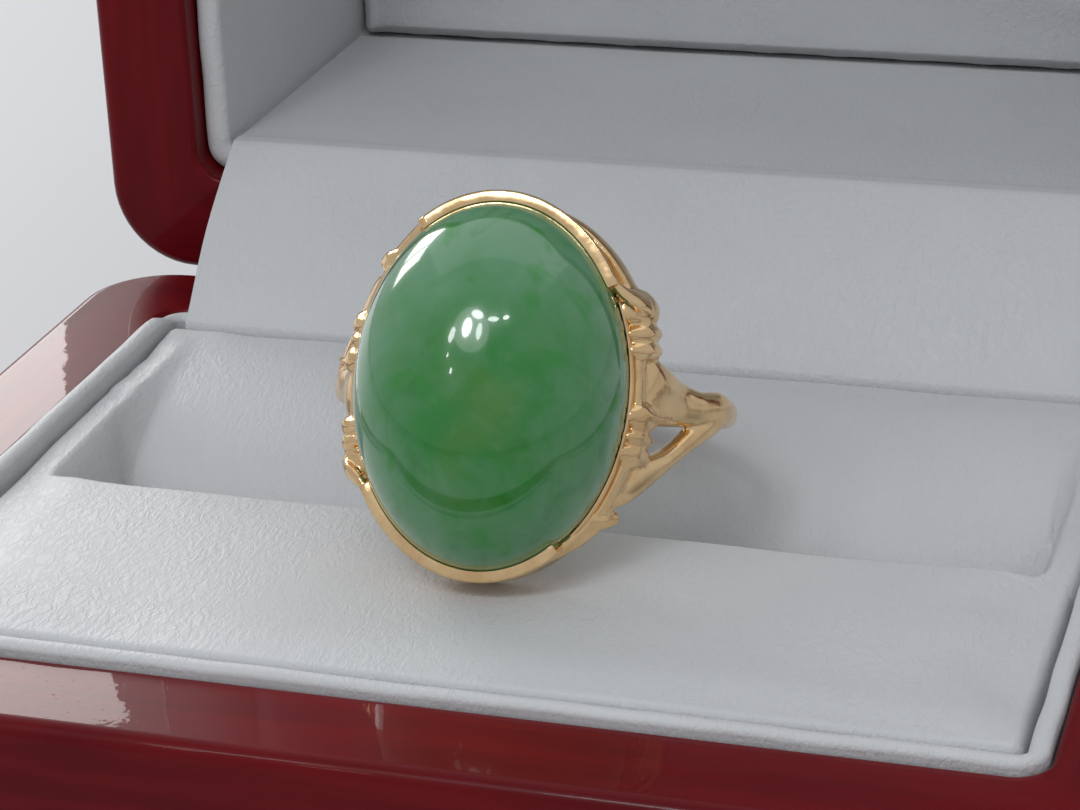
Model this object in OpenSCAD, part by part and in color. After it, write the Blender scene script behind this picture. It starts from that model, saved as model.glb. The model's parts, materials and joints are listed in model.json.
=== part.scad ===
// Lacquered wooden ring box with a hinged lid, a slotted ring pad and a jade ring.
// Millimetres. X is the width, Y runs front to back, Z is up.
// The origin is the centre of the base's underside.

/* [Case] */
// Outside width of the case
case_w = 62.5; // [60:0.5:75]
// Outside depth of the case, front to back
case_d = 48; // [47:0.5:56]
// Height of the base, from its felt to its rim
base_h = 25; // [24:0.5:30]
// Height of the lid, from its rim to its top
lid_h = 27; // [26:0.5:32]
// Thickness of the wooden rails
rail_t = 5.25; // [5:0.05:5.5]
// Radius of the upright corners
corner_r = 4.5; // [3.5:0.1:4.8]
// Rounding of the rims' outer edges
rim_round = 0.7; // [0.5:0.1:1.2]
// Rounding of the base's lower edges
foot_round = 0.8; // [0.4:0.1:1.2]
// Rounding of the lid's top edges
top_round = 2.4; // [1.2:0.1:3]
// Thickness of the base's bottom panel and the lid's top panel
panel_t = 3; // [2.5:0.1:3.5]
// Thickness of the felt under the base
felt_t = 0.8; // [0.5:0.1:1.2]
// How far the felt stops short of the base's outside
felt_inset = 1.6; // [1.3:0.1:3]
// How far the lid stands open, 0 is closed
lid_open = 90; // [0:1:90]

/* [Lining] */
// Thickness of a wrapped lining card
liner_t = 1.2; // [0.8:0.1:1.4]
// How far the base's lining stands above its rim
liner_lip = 0.76; // [0.3:0.02:1]
// How far the lid's lining stays below its rim
liner_recess = 1.1; // [1.1:0.1:2]
// Thickness of the card under each pad
board_t = 1; // [0.8:0.1:1.5]
// Thickness of the leatherette cover on each pad
cover_t = 0.6; // [0.4:0.1:0.8]
// Depth of the open space in the lid, from its rim to its pad
lid_depth = 21.2; // [20.5:0.1:21.6]
// Thickness of the strip that hides the hinges
flap_t = 0.4; // [0.3:0.05:0.45]

/* [Ring slot] */
// Where the slot's sharp front edge lies
slot_front_y = -2.4; // [-3.5:0.1:-1.5]
// Depth of the slot below the pad's top
slot_depth = 6.2; // [6.2:0.1:8]
// Half the length of the slot
slot_half = 23.2; // [21:0.1:23.6]
// How far the slot's rounded rear slope runs forward
slot_rear_run = 12; // [10:0.1:12]

/* [Hinges] */
// Distance of each hinge's middle from the centre
hinge_x = 15; // [13:0.5:18]
// Length of a hinge's barrel
hinge_len = 13; // [12.5:0.1:14]
// Radius of the barrel
barrel_r = 1.5; // [1.4:0.05:1.6]
// Radius of the hinge pin
pin_r = 0.6; // [0.5:0.02:0.62]
// Width of a leaf, from the pin to its free edge
leaf_w = 4.3; // [4:0.1:4.5]
// Thickness of a leaf
leaf_t = 0.5; // [0.4:0.05:0.55]

/* [Ring] */
// Half the width of the stone
stone_rx = 5.9; // [5.5:0.05:6.2]
// Half the length of the stone
stone_ry = 7.9; // [7.5:0.05:7.9]
// Height of the stone's dome above its girdle
stone_dome = 5.2; // [4:0.1:5.6]
// Inside radius of the finger hole
finger_r = 8.1; // [7.6:0.05:8.1]
// Thickness of the shank
shank_t = 1.3; // [1:0.05:1.4]
// Width of the shank at the back
shank_w = 2.4; // [1.8:0.1:2.6]
// How far the stone's face looks up from level
ring_tilt = 27; // [25:0.5:27.5]
// How far the ring is turned to the right about the upright
ring_turn = 4.8; // [0:0.1:5]
// How far the stone is rolled about the line it faces
ring_roll = -1; // [-1.5:0.1:0]

/* [Hidden] */
$fn = 48;

lacquer = [0.36, 0.07, 0.09];
leatherette = [0.80, 0.80, 0.80];
card = [0.62, 0.55, 0.45];
foam = [0.93, 0.90, 0.78];
felt = [0.10, 0.10, 0.11];
brass = [0.78, 0.62, 0.30];
gold = [0.90, 0.68, 0.32];
jade = [0.22, 0.52, 0.30];

eps = 0.01;
rim_gap = 0.2;                          // between the two rims when the lid is closed
glue_gap = 0.2;                         // between a lining card and its rail
pad_gap = 0.15;                         // between a pad and the lining round it
wood_h = base_h - felt_t;
inner_w = case_w - 2 * rail_t;
inner_d = case_d - 2 * rail_t;
lined_w = inner_w - 2 * glue_gap;
lined_d = inner_d - 2 * glue_gap;
pad_w = lined_w - 2 * liner_t - 2 * pad_gap;
pad_d = lined_d - 2 * liner_t - 2 * pad_gap;
floor_z = felt_t + panel_t;             // top of the bottom panel
foam_z = floor_z + board_t;             // underside of the ring pad's foam
lid_roof = lid_h - panel_t;             // underside of the top panel, above the lid's rim

hinge_y = case_d / 2;
hinge_z = base_h + rim_gap / 2;
run_gap = 0.15;                         // between neighbouring knuckles
knuckle = 2.6;                          // length of an outer knuckle
spring_room = 3.4;                      // stretch of the pin that the spring is wound on
base_bore_r = pin_r + 0.02;
lid_bore_r = pin_r + 0.06;
barrel_room = 0.2;                      // round the barrel, in the rails
leaf_room = 0.1;                        // round a leaf, in the rails
pin_room = 0.5;                         // past each end of the barrel, for the pin's heads
screw_x = 3.8;
screw_y = 3;
screw_r = 0.4;
screw_head_r = 0.9;
screw_len = 3.2;
wire_r = 0.2;
coil_r = 1.0;
coil_turns = 4.75;
coil_leg = 3;

slot_floor_run = 5.2;                   // flat stretch of the slot's floor
slot_rear_steps = 10;

flap_from = [18, base_h + 0.45];        // Y and Z of the flap's ends with the lid open
flap_to = [24.9, 31.7];
flap_w = inner_w - 3.4;

girdle = [0.37, -5.95, 33.26];          // middle of the stone's girdle when the ring is in its slot
bezel_wall = 0.45;
bezel_low = -1.5;
bezel_side = 0.2;
bezel_lip = 0.9;
ledge = 0.8;                            // width of the ledge that the stone stands on
hole_z = bezel_low + 0.3 - finger_r;    // centre of the finger hole, along the way the stone faces
oval_steps = 64;

// ---- shared shapes ----

// Upright section of a block: w wide about its middle, with rounded lower and upper corners
module slab_section(w, h, r_low, r_high) {
    difference() {
        translate([-w / 2, 0]) square([w, h]);
        for (s = [-1, 1]) {
            corner_waste(s * w / 2, 0, -s, 1, r_low);
            corner_waste(s * w / 2, h, -s, -1, r_high);
        }
    }
}

// What a rounding takes off the corner at x, y, where sx and sy point into the section
module corner_waste(x, y, sx, sy, r) {
    difference() {
        translate([x + sx * r / 2, y + sy * r / 2]) square(r + 2 * eps, center = true);
        translate([x + sx * r, y + sy * r]) circle(r);
        translate([x + sx * (r + eps), y + sy * (r / 2)]) square([2 * eps, r + 4 * eps], center = true);
        translate([x + sx * (r / 2), y + sy * (r + eps)]) square([r + 4 * eps, 2 * eps], center = true);
    }
}

// Case block with round upright corners and rounded lower and upper edges
module case_block(h, r_low, r_high) {
    along = case_w - 2 * corner_r;
    across = case_d - 2 * corner_r;
    translate([-along / 2, 0, 0]) rotate([90, 0, 90])
        linear_extrude(along) slab_section(case_d, h, r_low, r_high);
    translate([0, across / 2, 0]) rotate([90, 0, 0])
        linear_extrude(across) slab_section(case_w, h, r_low, r_high);
    for (x = [-1, 1], y = [-1, 1])
        translate([x * along / 2, y * across / 2, 0])
            rotate_extrude()
                intersection() {
                    slab_section(2 * corner_r, h, r_low, r_high);
                    square([corner_r, h]);
                }
}

// Wedge over one side of the case, out to the mitres: 0 front, 1 right, 2 rear, 3 left
module mitre_wedge(side, h) {
    far = 2;
    half = [case_w / 2, case_d / 2, case_w / 2, case_d / 2][side];
    out = [case_d / 2, case_w / 2, case_d / 2, case_w / 2][side];
    rotate([0, 0, 90 * side])
        translate([0, 0, -1]) linear_extrude(h + 2)
            polygon([[-half - far, -out - far], [half + far, -out - far],
                     [half - rail_t, -out + rail_t], [-half + rail_t, -out + rail_t]]);
}

// One rail of a frame of height h, mitred at both ends
module rail(side, h, r_low, r_high) {
    intersection() {
        difference() {
            case_block(h, r_low, r_high);
            translate([-inner_w / 2, -inner_d / 2, -1]) cube([inner_w, inner_d, h + 2]);
        }
        mitre_wedge(side, h);
    }
}

// Lining card on one side of the inside, between heights z0 and z1
module liner_card(side, z0, z1) {
    long = side % 2 == 0;
    size = long ? [lined_w, liner_t, z1 - z0] : [liner_t, lined_d - 2 * liner_t, z1 - z0];
    x = side == 1 ? lined_w / 2 - liner_t / 2 : side == 3 ? -lined_w / 2 + liner_t / 2 : 0;
    y = side == 0 ? -lined_d / 2 + liner_t / 2 : side == 2 ? lined_d / 2 - liner_t / 2 : 0;
    translate([x, y, (z0 + z1) / 2]) cube(size, center = true);
}

// Puts what is drawn on the lid's rim plane, lid closed, where the open lid is
module on_lid() {
    translate([0, hinge_y, hinge_z]) rotate([-lid_open, 0, 0])
        translate([0, -hinge_y, rim_gap / 2]) children();
}

// Closed tube along a path: wide half-widths run along ref, thick ones across it
function unit(v) = v / norm(v);
function heading(path, i) =
    unit(path[min(i + 1, len(path) - 1)] - path[max(i - 1, 0)]);
function tube_ring(at, along, ref, wide, thick, sides) =
    let (across = unit(cross(along, ref)), side = cross(across, along))
    [for (k = [0:sides - 1])
        at + wide * cos(360 * k / sides) * side + thick * sin(360 * k / sides) * across];

module tube(path, ref, wide, thick, sides) {
    last = len(path) - 1;
    points = [for (i = [0:last])
        each tube_ring(path[i], heading(path, i), ref, wide[i], thick[i], sides)];
    skin = [for (i = [0:last - 1], k = [0:sides - 1])
        let (a = i * sides + k, b = i * sides + (k + 1) % sides)
        each [[a, b, b + sides], [a, b + sides, a + sides]]];
    first_cap = [for (k = [sides - 1:-1:0]) k];
    last_cap = [for (k = [0:sides - 1]) last * sides + k];
    polyhedron(points, concat(skin, [first_cap, last_cap]));
}

// ---- wooden base ----

module base_rail(side) { color(lacquer) translate([0, 0, felt_t]) rail(side, wood_h, foot_round, rim_round); }

module base_front_rail() { base_rail(0); }
module base_right_rail() { base_rail(1); }
module base_left_rail() { base_rail(3); }
module base_rear_rail() {
    color(lacquer) difference() {
        base_rail(2);
        hinge_seats();
    }
}

module base_bottom_panel() {
    color(lacquer) translate([-inner_w / 2, -inner_d / 2, felt_t]) cube([inner_w, inner_d, panel_t]);
}

module base_felt() {
    color(felt) translate([0, 0, felt_t / 2])
        cube([case_w - 2 * felt_inset, case_d - 2 * felt_inset, felt_t], center = true);
}

// ---- lining and slotted pad of the base ----

module base_liner_front() { color(leatherette) liner_card(0, floor_z, base_h + liner_lip); }
module base_liner_right() { color(leatherette) liner_card(1, floor_z, base_h + liner_lip); }
module base_liner_left() { color(leatherette) liner_card(3, floor_z, base_h + liner_lip); }
module base_liner_rear() { color(leatherette) liner_card(2, floor_z, base_h); }

module pad_board() {
    color(card) translate([-pad_w / 2, -pad_d / 2, floor_z]) cube([pad_w, pad_d, board_t]);
}

// Section of the slot, front to back: sharp front edge, slanted face, flat floor, rounded rear slope
module slot_section(grow) {
    rear_top = pad_d / 2;
    floor_end = rear_top - slot_rear_run;
    depth = slot_depth + grow;
    top = base_h + 1;
    rear = [for (i = [0:slot_rear_steps])
        let (a = 90 * i / slot_rear_steps)
        [floor_end + slot_rear_run * (1 - cos(a)), base_h - depth * (1 - sin(a))]];
    polygon(concat([[slot_front_y - grow, top], [slot_front_y - grow, base_h],
                    [floor_end - slot_floor_run - grow, base_h - depth]],
                   rear, [[rear_top + 1, base_h], [rear_top + 1, top]]));
}

module slotted_block(top, grow) {
    difference() {
        translate([-pad_w / 2, -pad_d / 2, foam_z]) cube([pad_w, pad_d, top - foam_z]);
        rotate([90, 0, 90]) translate([0, 0, -slot_half - grow])
            linear_extrude(2 * (slot_half + grow)) slot_section(grow);
    }
}

module pad_foam() { color(foam) slotted_block(base_h - cover_t, cover_t); }

module pad_cover() {
    color(leatherette) difference() {
        slotted_block(base_h, 0);
        slotted_block(base_h - cover_t, cover_t);
    }
}

// Strip of leatherette from the ring pad up to the open lid's lining, in front of the hinges
module hinge_flap() {
    run = flap_to - flap_from;
    color(leatherette) translate([-flap_w / 2, flap_from[0], flap_from[1]])
        rotate([atan2(run[1], run[0]), 0, 0])
            translate([0, 0, -flap_t / 2]) cube([flap_w, norm(run), flap_t]);
}

// ---- hinges ----

knuckle_a = [-hinge_len / 2, -hinge_len / 2 + knuckle];
spring_span = [knuckle_a[1] + run_gap, knuckle_a[1] + run_gap + spring_room];
knuckle_b = [hinge_len / 2 - knuckle, hinge_len / 2];
lid_knuckle = [spring_span[1] + run_gap, knuckle_b[0] - run_gap];

module at_hinge(s) { translate([s * hinge_x, hinge_y, hinge_z]) children(); }

module rod_x(r, x0, x1) { translate([x0, 0, 0]) rotate([0, 90, 0]) cylinder(r = r, h = x1 - x0); }

// Room cut in a rear rail for the barrels, leaves and screws, leaf below the pin
module hinge_seats() {
    for (s = [-1, 1]) at_hinge(s) {
        rod_x(barrel_r + barrel_room, -hinge_len / 2 - pin_room, hinge_len / 2 + pin_room);
        translate([-hinge_len / 2 - leaf_room, -leaf_w - leaf_room, -rim_gap / 2 - leaf_t - leaf_room])
            cube([hinge_len + 2 * leaf_room, leaf_w, leaf_t + leaf_room + 1]);
        for (x = [-screw_x, screw_x])
            translate([x, -screw_y, -screw_len - 0.5]) cylinder(r = screw_r + 0.02, h = screw_len);
    }
}

// Leaf below the pin with its knuckles over the given spans of X
module hinge_leaf(spans, bore_r) {
    plate_edge = barrel_r + run_gap;
    color(brass) difference() {
        union() {
            translate([-hinge_len / 2, -leaf_w, -rim_gap / 2 - leaf_t])
                cube([hinge_len, leaf_w - plate_edge, leaf_t]);
            for (span = spans) {
                rod_x(barrel_r, span[0], span[1]);
                translate([span[0], -plate_edge - eps, -rim_gap / 2 - leaf_t])
                    cube([span[1] - span[0], plate_edge, leaf_t]);
            }
        }
        rod_x(bore_r, -hinge_len, hinge_len);
        for (x = [-screw_x, screw_x]) translate([x, -screw_y, -rim_gap / 2]) {
            translate([0, 0, -leaf_t]) cylinder(r = screw_r + 0.02, h = 2 * leaf_t, center = true);
            translate([0, 0, -leaf_t + 0.05]) cylinder(r1 = screw_r + 0.02, r2 = screw_head_r + 0.04,
                                                       h = leaf_t - 0.05 + eps);
        }
    }
}

module hinge_leaf_base_left() { at_hinge(-1) hinge_leaf([knuckle_a, knuckle_b], base_bore_r); }
module hinge_leaf_base_right() { at_hinge(1) hinge_leaf([knuckle_a, knuckle_b], base_bore_r); }

// The lid's leaf is the base's turned over the pin
module lid_leaf(s) {
    at_hinge(s) rotate([-lid_open, 0, 0]) mirror([0, 0, 1]) hinge_leaf([lid_knuckle], lid_bore_r);
}
module hinge_leaf_lid_left() { lid_leaf(-1); }
module hinge_leaf_lid_right() { lid_leaf(1); }

module hinge_pin(s) {
    head = 0.25;
    end = hinge_len / 2 + 0.05;
    color(brass) at_hinge(s) {
        rod_x(pin_r, -end, end);
        rod_x(pin_r + 0.25, -end - head, -end);
        rod_x(pin_r + 0.25, end, end + head);
    }
}
module hinge_pin_left() { hinge_pin(-1); }
module hinge_pin_right() { hinge_pin(1); }

// Torsion spring round the pin, one leg over the base's leaf and one along the lid's leaf
module hinge_spring(s) {
    x0 = spring_span[0] + wire_r + 0.1;
    x1 = spring_span[1] - wire_r - 0.1;
    steps = 57;
    coil = [for (i = [0:steps])
        let (t = i / steps, a = 90 - 360 * coil_turns * t)
        [x0 + (x1 - x0) * t, coil_r * cos(a), coil_r * sin(a)]];
    path = concat([[x0, -coil_leg, coil_r]], coil, [[x1, -coil_r, coil_leg]]);
    same = [for (p = path) wire_r];
    color("silver") at_hinge(s) tube(path, [1, 0, 0], same, same, 8);
}
module hinge_spring_left() { hinge_spring(-1); }
module hinge_spring_right() { hinge_spring(1); }

// The two countersunk screws of one leaf, with slotted heads
module leaf_screws() {
    for (x = [-screw_x, screw_x]) translate([x, -screw_y, -rim_gap / 2])
        difference() {
            union() {
                translate([0, 0, -leaf_t + 0.05])
                    cylinder(r1 = screw_r, r2 = screw_head_r, h = leaf_t - 0.08);
                translate([0, 0, -screw_len]) cylinder(r = screw_r, h = screw_len - 0.2);
            }
            cube([2 * screw_head_r, 0.25, 0.3], center = true);
        }
}

module base_hinge_screws() { color(brass) for (s = [-1, 1]) at_hinge(s) leaf_screws(); }
module lid_hinge_screws() {
    color(brass) for (s = [-1, 1])
        at_hinge(s) rotate([-lid_open, 0, 0]) mirror([0, 0, 1]) leaf_screws();
}

// ---- wooden lid, drawn closed on its rim plane ----

module lid_rail(side) { color(lacquer) on_lid() rail(side, lid_h, rim_round, top_round); }

module lid_front_rail() { lid_rail(0); }
module lid_right_rail() { lid_rail(1); }
module lid_left_rail() { lid_rail(3); }
module lid_rear_rail() {
    color(lacquer) on_lid() difference() {
        rail(2, lid_h, rim_round, top_round);
        translate([0, 0, -base_h - rim_gap]) translate([0, 0, 2 * hinge_z]) mirror([0, 0, 1]) hinge_seats();
    }
}

module lid_top_panel() {
    color(lacquer) on_lid() translate([-inner_w / 2, -inner_d / 2, lid_roof])
        cube([inner_w, inner_d, panel_t]);
}

// ---- lining and pad of the lid ----

module lid_liner(side) { color(leatherette) on_lid() liner_card(side, liner_recess, lid_roof); }
module lid_liner_front() { lid_liner(0); }
module lid_liner_right() { lid_liner(1); }
module lid_liner_rear() { lid_liner(2); }
module lid_liner_left() { lid_liner(3); }

// Layer of the lid's pad between two depths from the rim
module lid_layer(z0, z1) {
    on_lid() translate([-pad_w / 2, -pad_d / 2, z0]) cube([pad_w, pad_d, z1 - z0]);
}
module lid_pad_board() { color(card) lid_layer(lid_roof - board_t, lid_roof); }
module lid_pad_foam() { color(foam) lid_layer(lid_depth + cover_t, lid_roof - board_t); }
module lid_pad_cover() { color(leatherette) lid_layer(lid_depth, lid_depth + cover_t); }

// ---- ring, drawn with its stone's girdle on the XY plane, facing +Z ----

module in_slot() {
    translate(girdle) rotate([0, 0, ring_turn]) rotate([90 - ring_tilt, 0, 0])
        rotate([0, 0, ring_roll]) children();
}

function oval(rx, ry) = [for (i = [0:oval_steps - 1])
    let (a = 360 * i / oval_steps) [rx * cos(a), ry * sin(a)]];

module oval_wall(grow_out, grow_in, z0, z1) {
    translate([0, 0, z0]) linear_extrude(z1 - z0) difference() {
        polygon(oval(stone_rx + grow_out, stone_ry + grow_out));
        polygon(oval(stone_rx + grow_in, stone_ry + grow_in));
    }
}

// Open-backed oval setting: a wall, a ledge for the stone, and a lip over its top and bottom arcs
module ring_bezel() {
    lip_clear = 0.62;                   // share of the stone's length that the sides leave bare
    color(gold) in_slot() {
        oval_wall(bezel_wall, 0.03, bezel_low, bezel_side);
        oval_wall(0.04, -ledge, bezel_low, -0.25);
        difference() {
            oval_wall(bezel_wall, 0.03, bezel_side - eps, bezel_lip);
            cube([4 * stone_rx, 2 * lip_clear * stone_ry, 4 * bezel_lip], center = true);
        }
    }
}

// Domed oval stone with a flat back
module jade_cabochon() {
    color(jade) in_slot() intersection() {
        scale([stone_rx, stone_ry, stone_dome]) sphere(1, $fn = 56);
        translate([0, 0, stone_dome - 0.2]) cube([4 * stone_rx, 4 * stone_ry, 2 * stone_dome], center = true);
    }
}

// Shank round the finger with shoulders that split to the setting's upper and lower sides
module ring_shank() {
    mid_r = finger_r + shank_t / 2;
    split_a = 62;                       // where each shoulder starts, from the way the stone faces
    knot_r = 1;
    section = [for (i = [0:oval_steps / 4 - 1])
        let (a = 1440 * i / oval_steps)
        [mid_r + shank_t / 2 * cos(a), shank_w / 2 * sin(a)]];
    color(gold) in_slot() {
        translate([0, 0, hole_z]) rotate([90, 0, 0]) rotate([0, 0, 90 + split_a])
            rotate_extrude(angle = 360 - 2 * split_a) polygon(section);
        for (x = [-1, 1]) {
            knot = [x * mid_r * sin(split_a), 0, hole_z + mid_r * cos(split_a)];
            translate(knot) sphere(knot_r);
            for (y = [-1, 1])
                rod(knot, [x * stone_rx * 0.97, y * 4.2, -1.2], 0.85, 0.65);
        }
    }
}

// Straight tapered rod between two points
module rod(from, to, r_from, r_to) {
    run = to - from;
    translate(from)
        rotate([0, acos(run[2] / norm(run)), atan2(run[1], run[0])])
            cylinder(r1 = r_from, r2 = r_to, h = norm(run));
}

// Leaf-shaped claws along the setting's bare sides
module ring_claws() {
    claw_r = 0.38;
    claw_out = bezel_wall + 0.47;       // from the stone's edge to a claw's middle
    color(gold) in_slot()
        for (x = [-1, 1], a = [-44, -10, 10, 44])
            translate([x * (stone_rx + claw_out) * cos(a), (stone_ry + claw_out) * sin(a), bezel_low + 0.2])
                cylinder(r = claw_r, h = bezel_lip - bezel_low - 0.1, $fn = 24);
}

base_front_rail();
base_rear_rail();
base_left_rail();
base_right_rail();
base_bottom_panel();
base_felt();
base_liner_front();
base_liner_rear();
base_liner_left();
base_liner_right();
pad_board();
pad_foam();
pad_cover();
hinge_flap();
hinge_leaf_base_left();
hinge_leaf_base_right();
hinge_pin_left();
hinge_pin_right();
hinge_spring_left();
hinge_spring_right();
base_hinge_screws();
lid_front_rail();
lid_rear_rail();
lid_left_rail();
lid_right_rail();
lid_top_panel();
lid_liner_front();
lid_liner_rear();
lid_liner_left();
lid_liner_right();
lid_pad_board();
lid_pad_foam();
lid_pad_cover();
hinge_leaf_lid_left();
hinge_leaf_lid_right();
lid_hinge_screws();
ring_shank();
ring_bezel();
ring_claws();
jade_cabochon();
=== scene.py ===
import json
import math

import bmesh
import bpy
import numpy as np
from mathutils import Matrix, Vector
from mathutils.kdtree import KDTree


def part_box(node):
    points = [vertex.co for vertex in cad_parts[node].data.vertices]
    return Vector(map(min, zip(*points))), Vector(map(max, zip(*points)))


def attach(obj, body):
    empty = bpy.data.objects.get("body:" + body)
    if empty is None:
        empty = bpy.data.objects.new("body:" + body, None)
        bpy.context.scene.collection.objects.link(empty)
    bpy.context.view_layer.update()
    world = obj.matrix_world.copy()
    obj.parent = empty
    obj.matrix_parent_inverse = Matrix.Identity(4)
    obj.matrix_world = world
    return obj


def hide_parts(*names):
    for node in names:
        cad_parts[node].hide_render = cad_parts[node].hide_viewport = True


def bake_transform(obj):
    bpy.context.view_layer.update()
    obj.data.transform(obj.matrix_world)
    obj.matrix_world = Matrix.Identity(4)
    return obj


# Looks of a lacquered ring box with leatherette lining and pads, sprung hinges and a jade ring.
# Shapes are made in millimetres and turned into metres when a piece is made.

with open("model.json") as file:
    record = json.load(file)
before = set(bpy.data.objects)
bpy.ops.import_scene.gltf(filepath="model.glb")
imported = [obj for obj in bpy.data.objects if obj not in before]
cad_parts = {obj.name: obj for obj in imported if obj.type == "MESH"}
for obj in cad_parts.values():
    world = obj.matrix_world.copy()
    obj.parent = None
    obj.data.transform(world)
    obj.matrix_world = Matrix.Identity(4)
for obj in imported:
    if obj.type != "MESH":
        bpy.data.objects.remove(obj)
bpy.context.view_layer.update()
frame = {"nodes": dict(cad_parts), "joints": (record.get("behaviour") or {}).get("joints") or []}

MM = 0.001


def box_mm(*nodes):
    """Lowest and highest corner of one or more CAD nodes, in millimetres."""
    lows, highs = zip(*(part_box(n) for n in nodes))
    return np.array(lows).min(axis=0) / MM, np.array(highs).max(axis=0) / MM


# ---- sizes from the frame ----

case_low, case_high = box_mm("base_front_rail", "base_rear_rail", "base_left_rail", "base_right_rail")
floor_low, floor_high = box_mm("base_bottom_panel")
pad_low, pad_high = box_mm("pad_foam", "pad_cover")
liner_low, liner_high = box_mm("base_liner_front", "base_liner_left", "base_liner_right", "base_liner_rear")
lid_low, lid_high = box_mm("lid_front_rail", "lid_rear_rail", "lid_left_rail", "lid_right_rail")
lid_pad_low, lid_pad_high = box_mm("lid_pad_foam", "lid_pad_cover")
lid_liner_low, _ = box_mm("lid_liner_front", "lid_liner_rear", "lid_liner_left", "lid_liner_right")
felt_low, felt_high = box_mm("base_felt")
hinge = next(j for j in frame["joints"] if j["name"] == "lid_hinge")
hinge_y, hinge_z = hinge["pos_m"][1] / MM, hinge["pos_m"][2] / MM
rim_z = case_high[2]
lid_rim_y = lid_low[1]
lid_height = lid_high[1] - lid_low[1]

# ---- sizes that repeat the CAD's ----

CORNER_R = 4.5
RIM_ROUND = 0.7
FOOT_ROUND = 0.8
TOP_ROUND = 2.4
LINER_T = 1.2
PANEL_T = 3.0
SLOT_FRONT_Y = -2.4
SLOT_DEPTH = 6.2
SLOT_HALF = 23.2
SLOT_FLOOR_RUN = 5.2
SLOT_REAR_RUN = 12.0
HINGE_X = 15.0
HINGE_HALF = 6.5
BARREL_R = 1.5
LEAF_W = 4.3
LEAF_T = 0.5
COIL_R = 1.0
WIRE_R = 0.2
COIL_TURNS = 4.75
COIL_LEG = 3.0
STONE_RX = 5.9
STONE_RY = 7.9
STONE_DOME = 5.2
FINGER_R = 8.1
SHANK_W = 2.4
HOLE_Z = -9.3                            # middle of the finger hole, in the ring's own frame
GIRDLE = (0.37, -5.95, 33.26)            # middle of the stone's edge, the origin of that frame
RING_TILT, RING_TURN, RING_ROLL = 27.0, 4.8, -1.0

# ---- sizes of the visual model's own ----

WRAP_T = 0.13                            # leatherette wrapped round the linings' cards
BASE_LINING_T = 0.85                     # the base's lining at its edge, where the pad presses it
LINING_GAP = 0.03                        # left between that lining and the pad
BASE_LINING_DROP = 0.26                  # how far it stands below the CAD's lining
SHANK_T = 1.05                           # slimmer than the CAD's shank
BACK_HALF_W = 0.5                        # half the shank's width behind the finger
PAD_REAR_GAP = 0.2                       # room behind the ring pad for the hinge strip
ARC_FROM, ARC_TO = 33.5, 125.5           # turns between which the setting's lip stands over the stone

pad_reach = LINER_T + WRAP_T - BASE_LINING_T - LINING_GAP
pad_low[:2] -= pad_reach
pad_high[0] += pad_reach


# ---- mesh helpers ----

def smoothstep(value, low, high):
    t = np.clip((value - low) / (high - low), 0, 1)
    return t * t * (3 - 2 * t)


def rounded_rect(low, high, radius, corner_steps=12, edge_steps=1):
    """Points round a rectangle with round corners, anticlockwise from its left end of the front."""
    (x0, y0), (x1, y1) = low[:2], high[:2]
    corners = [(x0 + radius, y0 + radius, 180), (x1 - radius, y0 + radius, 270),
               (x1 - radius, y1 - radius, 0), (x0 + radius, y1 - radius, 90)]
    arcs = []
    for cx, cy, start in corners:
        turns = np.radians(start + 90 * np.arange(corner_steps + 1) / corner_steps)
        arcs.append(np.column_stack([cx + radius * np.cos(turns), cy + radius * np.sin(turns)]))
    points = []
    for k, arc in enumerate(arcs):
        points.extend(arc)
        first, last = arc[-1], arcs[(k + 1) % 4][0]
        points.extend(first + (last - first) * i / edge_steps for i in range(1, edge_steps))
    return np.array(points)


def inset_rect(low, high, radius, inset, z, **steps):
    """The same rectangle moved inwards by inset, at height z."""
    flat = rounded_rect(np.array(low[:2]) + inset, np.array(high[:2]) - inset,
                        max(radius - inset, 0.05), **steps)
    return np.column_stack([flat, np.full(len(flat), z)])


def quarter(steps):
    """Sine and cosine along a quarter turn."""
    turns = np.radians(90 * np.arange(steps + 1) / steps)
    return list(zip(np.sin(turns), np.cos(turns)))


def loft(loops, ring=False):
    """Points and faces of a skin through loops of the same length, with flat ends or joined into a ring."""
    count = len(loops[0])
    faces = []
    last = len(loops) if ring else len(loops) - 1
    for i in range(last):
        a, b = i * count, (i + 1) % len(loops) * count
        for k in range(count):
            n = (k + 1) % count
            faces.append((a + k, a + n, b + n, b + k))
    if not ring:
        faces.append(tuple(range(count))[::-1])
        faces.append(tuple((len(loops) - 1) * count + k for k in range(count)))
    return np.concatenate(loops), faces


def joined(parts):
    """One set of points and faces from several."""
    points, faces, start = [], [], 0
    for part_points, part_faces in parts:
        points.append(part_points)
        faces.extend(tuple(v + start for v in f) for f in part_faces)
        start += len(part_points)
    return np.concatenate(points), faces


def on_lid(points):
    """From the closed lid, with its rim at height 0, to where the open lid is."""
    x, y, z = np.asarray(points).T
    return np.column_stack([x, lid_rim_y + z, hinge_z + hinge_y - y])


ring_matrix = (Matrix.Translation(GIRDLE) @ Matrix.Rotation(math.radians(RING_TURN), 4, "Z")
               @ Matrix.Rotation(math.radians(90 - RING_TILT), 4, "X")
               @ Matrix.Rotation(math.radians(RING_ROLL), 4, "Z"))


def in_slot(points):
    """From the ring's own frame, its stone facing +Z, to where it sits in the pad's slot."""
    turn = np.array(ring_matrix)
    return np.asarray(points) @ turn[:3, :3].T + turn[:3, 3]


def temp_object(points, faces, scale=1.0):
    mesh = bpy.data.meshes.new("temp")
    mesh.from_pydata((np.asarray(points) * scale).tolist(), [], faces)
    obj = bpy.data.objects.new("temp", mesh)
    bpy.context.scene.collection.objects.link(obj)
    return obj


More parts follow.
